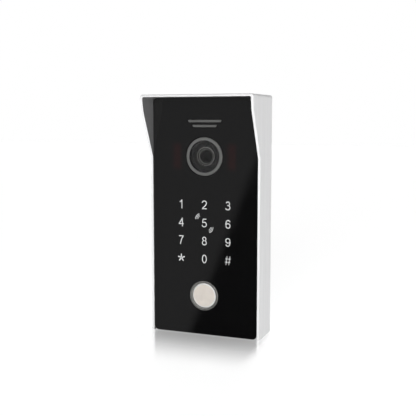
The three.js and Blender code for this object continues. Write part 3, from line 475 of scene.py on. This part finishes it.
# The front panel: deep black acrylic with two faint dark red lamp windows printed behind it.
panelFinish = {
    "black": (0.0035, 0.0035, 0.0037, 1),
    "windowRed": (0.012, 0.0036, 0.0038, 1),
    "windowHalf": (3.0, 9.5),
    "softness": 4.0,
    "ior": 1.49,
    "hazeScale": 90,
    "hazeRough": (0.03, 0.07),
}


def makePanelMaterial():
    values = panelFinish
    material, nodes, join = startMaterial("panelBlack")
    shader = nodes["Principled BSDF"]
    shader.inputs["IOR"].default_value = values["ior"]
    lamp = middle("ir_lamp_2")
    place = nodes.new("ShaderNodeTexCoord")
    axes = nodes.new("ShaderNodeSeparateXYZ")
    join(place.outputs["Object"], axes.inputs["Vector"])
    # both windows come from one, by folding X over the middle
    fold = addMath(nodes, "ABSOLUTE")
    join(axes.outputs["X"], fold.inputs[0])

    def inside(socket, centre, half):
        # 1 inside the window along one axis, falling to 0 past its edge
        shift = addMath(nodes, "SUBTRACT", centre)
        size = addMath(nodes, "ABSOLUTE")
        soft = values["softness"] / 2
        edge = addRange(nodes, (half - soft) * mm, (half + soft) * mm, 1, 0)
        join(socket, shift.inputs[0])
        join(shift.outputs["Value"], size.inputs[0])
        join(size.outputs["Value"], edge.inputs["Value"])
        return edge.outputs["Result"]

    halfWidth, halfHeight = values["windowHalf"]
    window = addMath(nodes, "MULTIPLY")
    join(inside(fold.outputs["Value"], abs(lamp.x), halfWidth), window.inputs[0])
    join(inside(axes.outputs["Z"], lamp.z, halfHeight), window.inputs[1])
    mix = nodes.new("ShaderNodeMix")
    mix.data_type = "RGBA"
    mix.inputs["A"].default_value = values["black"]
    mix.inputs["B"].default_value = values["windowRed"]
    join(window.outputs["Value"], mix.inputs["Factor"])
    join(mix.outputs["Result"], shader.inputs["Base Color"])
    # faint polishing haze
    haze = addGrain(nodes, values["hazeScale"], values["hazeRough"])
    join(haze.outputs["Roughness"], shader.inputs["Roughness"])
    return material


# Clear acrylic and coated lens glass.
clearFinish = {
    "windowClear": {"tint": (0.86, 0.86, 0.86, 1), "rough": (0.01, 0.03), "ior": 1.25,
                    "grain": 150},
    "lensCoated": {"tint": (0.01, 0.011, 0.012, 1), "rough": (0.02, 0.05), "ior": 1.15,
                   "grain": 150},
}


def makeClear(name):
    values = clearFinish[name]
    material, nodes, join = startMaterial(name)
    shader = nodes["Principled BSDF"]
    shader.inputs["Base Color"].default_value = values["tint"]
    shader.inputs["Transmission Weight"].default_value = 1
    shader.inputs["IOR"].default_value = values["ior"]
    grain = addGrain(nodes, values["grain"], values["rough"])
    join(grain.outputs["Roughness"], shader.inputs["Roughness"])
    return material


paint = {name: makeMaterial(name) for name in finishes}
paint["panelBlack"] = makePanelMaterial()
for clearName in clearFinish:
    paint[clearName] = makeClear(clearName)
print("materials ready:", len(paint))


# Angles are in degrees, welding distances in millimetres, areas in square millimetres.
shading = {"flat": 0.9999, "leastArea": 2.0, "sharpFrom": 32, "roundFrom": 35}
weld = {"copied": 0.002, "turned": 0.0005, "sameFace": 0.5}
hair = 0.02  # how far off a face may lie when it is picked by its place, in millimetres


def makePiece(name, bm, surfaces, replaced=(), body="station"):
    # flat faces keep their own normals, so that they mirror truly beside rounded edges
    bm.normal_update()
    rounded = []
    for face in bm.faces:
        upright = abs(face.normal.y) > shading["flat"]
        square = max(abs(part) for part in face.normal) > shading["flat"]
        large = face.calc_area() > shading["leastArea"] * mm * mm
        rounded.append(not (upright or square and large))
    mesh = bpy.data.meshes.new(name)
    bm.to_mesh(mesh)
    bm.free()
    for surface in surfaces:
        mesh.materials.append(paint[surface])
    if "custom_normal" in mesh.attributes:
        mesh.attributes.remove(mesh.attributes["custom_normal"])
    mesh.set_sharp_from_angle(angle=math.radians(shading["sharpFrom"]))
    mesh.polygons.foreach_set("use_smooth", rounded)
    piece = bpy.data.objects.new(name, mesh)
    bpy.context.scene.collection.objects.link(piece)
    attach(piece, body)
    if replaced:
        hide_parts(*replaced)
    return piece


def copyNode(node):
    # a CAD node as one welded mesh with its flat faces whole again
    bm = bmesh.new()
    bm.from_mesh(frame["nodes"][node].data)
    bmesh.ops.remove_doubles(bm, verts=bm.verts, dist=weld["copied"] * mm)
    bmesh.ops.dissolve_limit(bm, angle_limit=math.radians(weld["sameFace"]), verts=bm.verts,
                             edges=bm.edges, use_dissolve_boundaries=False, delimit=set())
    return bm


def roundEdges(bm, width, segments, only=None):
    sharp = [edge for edge in bm.edges if len(edge.link_faces) == 2
             and edge.calc_face_angle() > math.radians(shading["roundFrom"])
             and (only is None or only(edge))]
    bmesh.ops.bevel(bm, geom=sharp, offset=width * mm, offset_type="OFFSET", segments=segments,
                    profile=0.5, affect="EDGES", clamp_overlap=True, material=-1)


def turnProfile(profile, centre, steps, closed=False):
    # profile: (radius, distance from the wall) in millimetres, turned about an axis along Y
    bm = bmesh.new()
    verts = [bm.verts.new((centre.x + radius * mm, -depth * mm, centre.z))
             for radius, depth in profile]
    edges = [bm.edges.new(pair) for pair in zip(verts, verts[1:])]
    if closed:
        edges.append(bm.edges.new((verts[-1], verts[0])))
    bmesh.ops.spin(bm, geom=verts + edges, cent=(centre.x, 0, centre.z), axis=(0, 1, 0),
                   angle=2 * math.pi, steps=steps, use_merge=True)
    bmesh.ops.remove_doubles(bm, verts=bm.verts, dist=weld["turned"] * mm)
    bmesh.ops.recalc_face_normals(bm, faces=bm.faces)
    return bm


def arc(centre, radii, start, end, steps):
    # points on a round or oval arc, angles in degrees
    angles = [math.radians(start + (end - start) * i / steps) for i in range(steps + 1)]
    return [(centre[0] + radii[0] * math.cos(a), centre[1] + radii[1] * math.sin(a))
            for a in angles]


hood = {"wall": 1.8, "outerEdge": 0.8, "innerEdge": 0.3, "segments": 4, "skin": 0.2,
        "facing": 0.8, "aslant": 0.2}


def makeHood():
    bm = copyNode("rain_hood")
    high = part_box("rain_hood")[1]
    wall, skin = hood["wall"] * mm, hood["skin"] * mm

    def outer(edge):
        # the outer side of the front rims
        ends = [vert.co for vert in edge.verts]
        onSide = all(abs(end.x) > high.x - skin for end in ends)
        onRoof = all(end.z > high.z - skin for end in ends)
        return (onSide or onRoof) and all(end.y < -skin for end in ends)

    roundEdges(bm, hood["outerEdge"], hood["segments"], only=outer)
    roundEdges(bm, hood["innerEdge"], hood["segments"])
    # painted shade: the faces that look inwards or forwards get a darker grey, standing in for the
    # shade inside the hood
    clear, slight = hood["facing"], hood["aslant"]
    for face in bm.faces:
        at, facing = face.calc_center_median(), face.normal
        inwards = facing.x * at.x < 0
        sideWall = abs(at.x) > high.x - wall - skin and inwards and abs(facing.x) > clear
        roof = at.z > high.z - wall - skin and facing.z < -clear
        corner = (abs(at.x) > high.x - 2 * wall and at.z > high.z - 2 * wall
                  and inwards and facing.z < 0 and abs(facing.y) < slight)
        backPlate = facing.y < -clear and abs(at.y + wall) < skin
        face.material_index = 1 if sideWall or roof or corner or backPlate else 0
    makePiece("rainHood", bm, ["hoodSilver", "hoodPaintedShade"], ["rain_hood"])


panel = {"edge": 0.4, "segments": 3}


def makePanel():
    bm = copyNode("front_glass")
    roundEdges(bm, panel["edge"], panel["segments"])
    makePiece("frontPanel", bm, ["panelBlack"], ["front_glass"])


legends = {
    "rows": ["123", "456", "789", "*0#"],
    "pitch": (19.0, 13.83),
    "height": 6.85,
    "middle": (0.315, 0.5),
    "stroke": {"#": 0.056, "*": 0.11},
    "usualStroke": 0.084,
    "thickness": 0.04,
    "steps": 12,
}


def bend(x, z, radiusX, radiusZ, start, end):
    # centre line of a curved stroke, angles in degrees
    steps = max(3, round(legends["steps"] * abs(end - start) / 180))
    return arc((x, z), (radiusX, radiusZ), start, end, steps)


# Centre lines of each legend's strokes, in a box one unit high and about 0.63 wide.
strokes = {
    "1": [[(0.40, 0), (0.40, 1)], [(0.40, 0.93), (0.30, 0.82), (0.13, 0.72)]],
    "2": [bend(0.315, 0.69, 0.245, 0.245, 172, -20) + [(0.50, 0.50), (0.34, 0.33), (0.15, 0.17),
          (0.09, 0.066)], [(0.03, 0.066), (0.60, 0.066)]],
    "3": [bend(0.30, 0.735, 0.20, 0.20, 165, -80), bend(0.29, 0.30, 0.255, 0.235, 80, -165),
          [(0.22, 0.535), (0.34, 0.535)]],
    "4": [[(0.45, 0), (0.45, 1)], [(0.47, 0.96), (0.07, 0.31)], [(0.02, 0.29), (0.63, 0.29)]],
    "5": [[(0.56, 0.934), (0.15, 0.934)], [(0.175, 0.98), (0.105, 0.50)],
          bend(0.30, 0.325, 0.26, 0.26, 140, -168)],
    "6": [bend(0.325, 0.315, 0.235, 0.25, 180, -180), bend(0.335, 0.56, 0.25, 0.37, 30, 180)
          + [(0.085, 0.56), (0.085, 0.33)]],
    "7": [[(0.04, 0.934), (0.60, 0.934)], [(0.565, 0.93), (0.42, 0.72), (0.30, 0.46), (0.24, 0.22),
          (0.215, 0)]],
    "8": [bend(0.315, 0.735, 0.19, 0.20, 0, 360), bend(0.315, 0.30, 0.24, 0.235, 0, 360)],
    "0": [bend(0.315, 0.5, 0.235, 0.435, 0, 360)],
    "*": [[(0.315, 0.48), bend(0.315, 0.48, 0.43, 0.43, angle, angle)[0]]
          for angle in (90, 18, -54, -126, 162)],
    "#": [[(0.09, 0.0), (0.23, 0.98)], [(0.42, 0.0), (0.56, 0.98)], [(-0.04, 0.31), (0.61, 0.31)],
          [(0.02, 0.68), (0.67, 0.68)]],
}
strokes["9"] = [[(0.63 - x, 1 - z) for x, z in line] for line in strokes["6"]]


def addStroke(bm, line, width, lay):
    # a flat ribbon along a centre line, mitred at its bends
    closed = math.dist(line[0], line[-1]) < 0.001
    points = [Vector(point) for point in (line[:-1] if closed else line)]
    count = len(points)
    rails = ([], [])
    for i, point in enumerate(points):
        before = point - points[i - 1] if closed or i > 0 else points[1] - point
        after = points[(i + 1) % count] - point if closed or i < count - 1 else before
        before.normalize()
        after = after.normalized()
        across = Vector((-before.y - after.y, before.x + after.x)).normalized()
        reach = width / 2 / max(0.5, across.dot(Vector((-before.y, before.x))))
        for side, rail in zip((1, -1), rails):
            rail.append(bm.verts.new(lay(*(point + across * reach * side))))
    for i in range(count if closed else count - 1):
        after = (i + 1) % count
        bm.faces.new((rails[0][i], rails[1][i], rails[1][after], rails[0][after]))


def raiseInk(bm):
    # gives flat marks their thin printed layer, standing on the glass
    grown = bmesh.ops.extrude_face_region(bm, geom=bm.faces[:])
    front = [part for part in grown["geom"] if isinstance(part, bmesh.types.BMVert)]
    bmesh.ops.translate(bm, verts=front, vec=(0, -legends["thickness"] * mm, 0))
    bmesh.ops.recalc_face_normals(bm, faces=bm.faces)


def makeLegend(character, name, x, z):
    height = legends["height"] * mm
    middleU, middleV = legends["middle"]

    def lay(u, v):
        return (x + (u - middleU) * height, -glassFront, z + (v - middleV) * height)

    bm = bmesh.new()
    for line in strokes[character]:
        addStroke(bm, line, legends["stroke"].get(character, legends["usualStroke"]), lay)
    raiseInk(bm)
    makePiece(name, bm, ["legendWhite"])


def makeLegends():
    centre = middle("light_diffuser")
    names = {"*": "keyStar", "#": "keyHash"}
    for row, characters in enumerate(legends["rows"]):
        for column, character in enumerate(characters):
            x = (column - 1) * legends["pitch"][0] * mm
            z = centre.z + (1.5 - row) * legends["pitch"][1] * mm
            makeLegend(character, names.get(character, "key" + character), x, z)


# Two small radio-wave marks, either side of the middle key.
waves = {
    "radii": (2.4, 3.4, 4.4),
    "widths": (0.26, 0.3, 0.38),
    "spread": 36,
    "places": ((-2.8, 2.7, 144), (2.7, -3.0, -35)),
}


def makeWaves():
    keyHeight = middle("light_diffuser").z / mm + legends["pitch"][1] / 2

    def lay(u, v):
        return (u * mm, -glassFront, (keyHeight + v) * mm)

    for number, (x, z, turned) in enumerate(waves["places"], 1):
        start, end = turned - waves["spread"], turned + waves["spread"]
        bm = bmesh.new()
        for radius, width in zip(waves["radii"], waves["widths"]):
            addStroke(bm, bend(x, z, radius, radius, start, end), width, lay)
        raiseInk(bm)
        makePiece("radioMark" + str(number), bm, ["legendWhite"])


ring = {"flange": 1.6, "flangeThickness": 0.5, "inner": 12.1, "seat": 10.8, "overlap": 0.3,
        "edge": 0.35, "edgeSteps": 5, "steps": 128}


def makeCameraRing():
    centre = middle("camera_ring")
    front, back = frontOf("camera_ring") / mm, backOf("camera_ring") / mm
    flange = radiusOf("camera_ring") / mm
    outer, inner = flange - ring["flange"], ring["inner"]
    seat, edge = ring["seat"], ring["edge"]
    flangeFront = back + ring["flangeThickness"]
    seatDepth = backOf("camera_window") / mm - ring["overlap"]
    profile = [(seat, back), (flange, back), (flange, flangeFront), (outer, flangeFront)]
    profile += arc((outer - edge, front - edge), (edge, edge), 0, 90, ring["edgeSteps"])
    profile += arc((inner + edge, front - edge), (edge, edge), 90, 180, ring["edgeSteps"])
    profile += [(inner, seatDepth), (seat, seatDepth)]
    bm = turnProfile(profile, centre, ring["steps"], closed=True)
    for face in bm.faces:
        at = face.calc_center_median() - centre
        face.material_index = 1 if math.hypot(at.x, at.z) < (inner + hair) * mm else 0
    makePiece("cameraRing", bm, ["trimGrey", "frameBlack"], ["camera_ring"])


window = {"backChamfer": 0.2, "frontChamfer": 0.25, "steps": 96}


def makeCameraWindow():
    front, back = frontOf("camera_window") / mm, backOf("camera_window") / mm
    radius = radiusOf("camera_window") / mm
    behind, before = window["backChamfer"], window["frontChamfer"]
    profile = [(0, back), (radius - behind, back), (radius, back + behind),
               (radius, front - before), (radius - before, front), (0, front)]
    bm = turnProfile(profile, middle("camera_window"), window["steps"])
    makePiece("cameraWindow", bm, ["windowClear"], ["camera_window"])


# The head's crest is given as steps inwards from its edge and back from its front.
lens = {
    "crest": ((0, 0.55), (0.1, 0.3), (0.55, 0.05), (0.65, 0), (0.9, 0), (1.0, 0.05),
              (1.45, 0.5), (1.75, 0.75)),
    "rim": 0.55,
    "headLength": 6.2,
    "thread": 6.0,
    "bore": 2.9,
    "cone": 1.6,
    "baffles": 3,
    "baffleDepth": 0.3,
    "wellDepth": 2.1,
    "wellGap": 0.3,
    "barrelSteps": 96,
    "glass": 3.9,
    "glassEdge": 0.3,
    "dome": 1.296,
    "domeSteps": 12,
    "glassSteps": 64,
}


def makeBarrel():
    centre = middle("lens_barrel")
    front, back = frontOf("lens_barrel") / mm, backOf("lens_barrel") / mm
    head = radiusOf("lens_barrel") / mm
    shoulder, floor = front - lens["headLength"], front - lens["wellDepth"]
    bore, thread, well = lens["bore"], lens["thread"], lens["glass"] + lens["wellGap"]
    profile = [(bore, back), (thread, back), (thread, shoulder), (head, shoulder)]
    profile += [(head - inset, front - drop) for inset, drop in lens["crest"]]
    # a shallow cone, then stepped baffles down to the front element
    cone = head - lens["cone"]
    coneStart = lens["crest"][-2][0]
    coneEnd, coneDrop = lens["crest"][-1]
    for step in range(1, lens["baffles"] + 1):
        radius = cone - (cone - well) * step / lens["baffles"]
        depth = front - coneDrop - lens["baffleDepth"] * step
        profile += [(profile[-1][0], depth), (radius, depth)]
    profile += [(well, floor), (bore, floor)]
    bm = turnProfile(profile, centre, lens["barrelSteps"], closed=True)
    # painted highlight: the outer chamfer and the cone's inner edge take the lighter grey, so that
    # the floor's light draws highlight arcs on them
    for face in bm.faces:
        at = face.calc_center_median()
        inset = head - math.hypot(at.x - centre.x, at.z - centre.z) / mm
        drop = front + at.y / mm
        outerRim = inset < lens["rim"] and hair < drop < lens["rim"]
        innerRim = coneStart < inset < coneEnd and drop < coneDrop
        face.material_index = 1 if outerRim or innerRim else 0
    makePiece("lensBarrel", bm, ["lensBlack", "lensRimPaintedHighlight"], ["lens_barrel"])


def makeFrontLens():
    glass, back = lens["glass"], backOf("front_lens") / mm
    edge = back + lens["glassEdge"]
    profile = [(0, back), (glass, back)]
    profile += arc((0, edge), (glass, lens["dome"]), 0, 90, lens["domeSteps"])
    profile[-1] = (0, profile[-1][1])
    bm = turnProfile(profile, middle("lens_barrel"), lens["glassSteps"])
    makePiece("frontLens", bm, ["lensCoated"], ["front_lens"])


bars = {"height": 1.7, "slant": 0.7, "hole": 0.27, "pitch": 0.85, "facets": 10, "rim": 0.22}


def makeBar(name, node):
    # a bar with slanted ends, its middle pierced by one row of round holes
    low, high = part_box(node)
    half, middleZ = (high.x - low.x) / 2, (low.z + high.z) / 2
    slant, rim = bars["slant"] * mm, bars["rim"] * mm
    pitch, hole = bars["pitch"] * mm, bars["hole"] * mm
    cells = int((2 * half - 2 * (slant + rim)) / pitch)
    start = -cells * pitch / 2
    bm = bmesh.new()
    for cell in range(cells):
        x0, x1 = start + cell * pitch, start + (cell + 1) * pitch
        corners = [bm.verts.new((x, low.y, z)) for x, z in
                   ((x0, low.z), (x1, low.z), (x1, high.z), (x0, high.z))]
        square = [bm.edges.new((corners[i - 1], corners[i])) for i in range(4)]
        turned = Matrix.Rotation(math.pi / 2, 4, "X")
        made = bmesh.ops.create_circle(bm, cap_ends=False, radius=hole, segments=bars["facets"],
                                       matrix=Matrix.Translation(((x0 + x1) / 2, low.y, middleZ))
                                       @ turned)
        circle = {edge for vert in made["verts"] for edge in vert.link_edges}
        bmesh.ops.bridge_loops(bm, edges=square + list(circle))
    for side, x in ((-1, start), (1, -start)):
        points = [(x, low.z), (side * (half - slant), low.z), (side * half, high.z), (x, high.z)]
        bm.faces.new([bm.verts.new((px, low.y, pz)) for px, pz in points])
    bmesh.ops.remove_doubles(bm, verts=bm.verts, dist=weld["copied"] * mm)
    bmesh.ops.recalc_face_normals(bm, faces=bm.faces)
    grown = bmesh.ops.extrude_face_region(bm, geom=bm.faces[:])
    back = [part for part in grown["geom"] if isinstance(part, bmesh.types.BMVert)]
    bmesh.ops.translate(bm, verts=back, vec=(0, high.y - low.y, 0))
    bmesh.ops.recalc_face_normals(bm, faces=bm.faces)
    makePiece(name, bm, ["trimGrey"], [node])


# The cap's rim is given as steps inwards from its edge and back from its front.
button = {
    "rim": ((0, 0.75), (0.12, 0.59), (0.75, 0.08), (0.87, 0.12)),
    # width of the cap's rim band that carries the painted highlight, in millimetres
    "paintedHighlightBand": 0.85,
    "skirt": 1.45,
    "skirtEnd": 24.5,
    "top": 2.2,
    "stem": 3.0,
    "stemChamfer": 0.3,
    "neck": 2.4,
    "clipPlay": 0.1,
    "steps": 128,
}


def makeButton():
    centre = middle("call_button")
    front, back = frontOf("call_button") / mm, backOf("call_button") / mm
    radius = radiusOf("call_button") / mm
    under, skirt, skirtEnd = front - button["top"], radius - button["skirt"], button["skirtEnd"]
    stem, neck, chamfer = button["stem"], button["neck"], button["stemChamfer"]
    # the stem's groove holds the clip
    grooveBack = backOf("stem_clip") / mm - button["clipPlay"]
    grooveFront = frontOf("stem_clip") / mm + button["clipPlay"]
    profile = [(0, back), (stem - chamfer, back), (stem, back + chamfer), (stem, grooveBack),
               (neck, grooveBack), (neck, grooveFront), (stem, grooveFront), (stem, under),
               (skirt, under), (skirt, skirtEnd), (radius, skirtEnd)]
    profile += [(radius - inset, front - drop) for inset, drop in button["rim"]]
    face = profile[-1][1]
    profile += [(radius / 2, face), (0, face)]
    bm = turnProfile(profile, centre, button["steps"])
    # painted highlight: the cap's rim band takes the near-white steel in place of the rim's
    # highlight
    paintedHighlightFrom = radius - button["paintedHighlightBand"]
    for face in bm.faces:
        at = face.calc_center_median()
        distance = math.hypot(at.x - centre.x, at.z - centre.z)
        face.material_index = 1 if distance > paintedHighlightFrom * mm and -at.y > under * mm else 0
    makePiece("callButton", bm, ["satinSteel", "steelAndPaintedHighlight"], ["call_button"],
              body="call_button")


# The groove is half its width at the top, half its width at the bottom, and its depth.
bezel = {
    "flange": 11.35,
    "lift": 0.3,
    "edge": 0.3,
    "edgeSteps": 4,
    "groove": (0.2, 0.08, 0.22),
    "bore": 9.75,
    "boreChamfer": 0.15,
    "tube": 10.6,
    "stem": 3.3,
    "webFront": 23.0,
    "webBack": 21.8,
    "steps": 128,
}


def makeBezel():
    centre = middle("button_bezel")
    front, back = frontOf("button_bezel") / mm, backOf("button_bezel") / mm
    under = glassFront / mm + bezel["lift"]
    webFront, webBack = bezel["webFront"], bezel["webBack"]
    bore, tube, flange, stem = bezel["bore"], bezel["tube"], bezel["flange"], bezel["stem"]
    edge, chamfer = bezel["edge"], bezel["boreChamfer"]
    groove, (wide, narrow, deep) = (bore + flange) / 2, bezel["groove"]
    profile = [(stem, webBack), (bore, webBack), (bore, back), (tube, back), (tube, under),
               (flange, under)]
    profile += arc((flange - edge, front - edge), (edge, edge), 0, 90, bezel["edgeSteps"])
    profile += [(groove + wide, front), (groove + narrow, front - deep),
                (groove - narrow, front - deep), (groove - wide, front), (bore + chamfer, front),
                (bore, front - chamfer), (bore, webFront), (stem, webFront)]
    bm = turnProfile(profile, centre, bezel["steps"], closed=True)
    makePiece("buttonBezel", bm, ["bezelSteel"], ["button_bezel"])


def makeSpring():
    # the return spring shortens towards the bezel's web as the button goes in; here it is only
    # copied and given a mesh of its own
    piece = makePiece("buttonSpring", copyNode("button_spring"), ["zincPlate"],
                      ["button_spring"])
    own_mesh(piece)


terminals = {"poles": 4, "pitch": 5.08, "radius": 1.45, "height": 1.2, "chamfer": 0.2,
             "edge": 0.05, "sink": 1.6, "raise": 1.0, "steps": 24}


def makeTerminalScrews():
    centre = middle("terminal_block")
    head = backOf("terminal_block") / mm + terminals["sink"]
    foot = head + terminals["height"]
    radius, chamfer = terminals["radius"], terminals["chamfer"]
    profile = [(0, foot), (radius, foot), (radius, head + chamfer), (radius - chamfer, head),
               (0, head)]
    for pole in range(terminals["poles"]):
        x = (pole - (terminals["poles"] - 1) / 2) * terminals["pitch"] * mm
        place = Vector((x, 0, centre.z + terminals["raise"] * mm))
        bm = turnProfile(profile, place, terminals["steps"])
        roundEdges(bm, terminals["edge"], 1)
        makePiece("terminalScrew" + str(pole + 1), bm, ["zincPlate"])


makeHood()
makePanel()
print("hood and front panel made")
makeLegends()
makeWaves()
print("key legends made")
makeCameraRing()
makeCameraWindow()
makeBarrel()
makeFrontLens()
print("camera made")
makeBar("speakerBarUpper", "speaker_grille_upper")
makeBar("speakerBarLower", "speaker_grille_lower")
makeButton()
makeBezel()
makeSpring()
makeTerminalScrews()
print("speaker bars, call button and terminals made")


slotFinish = {
    "hood_metal": "hoodSilver",
    "panel_black": "panelBlack",
    "seal_rubber": "blackRubber",
    "frame_plastic": "frameBlack",
    "housing_plastic": "housingGrey",
    "screw_steel": "zincPlate",
    "button_steel": "steelAndPaintedHighlight",
    "trim_metal": "trimGrey",
    "window_clear": "windowClear",
    "lamp_resin": "lampResin",
    "circuit_board": "boardGreen",
    "copper_foil": "lacquerCopper",
    "diffuser_acrylic": "milkAcrylic",
    "ferrite": "ferriteGrey",
    "cone_paper": "conePaper",
    "terminal_green": "terminalGreen",
}


def paintNodes():
    slots = {row["node"]: row["material_slot"] for row in frame["record"]["subparts"]}
    for node, piece in frame["nodes"].items():
        piece.data.materials.clear()
        piece.data.materials.append(paint[slotFinish[slots[node]]])


paintNodes()
print("CAD nodes painted")

bpy.context.view_layer.update()
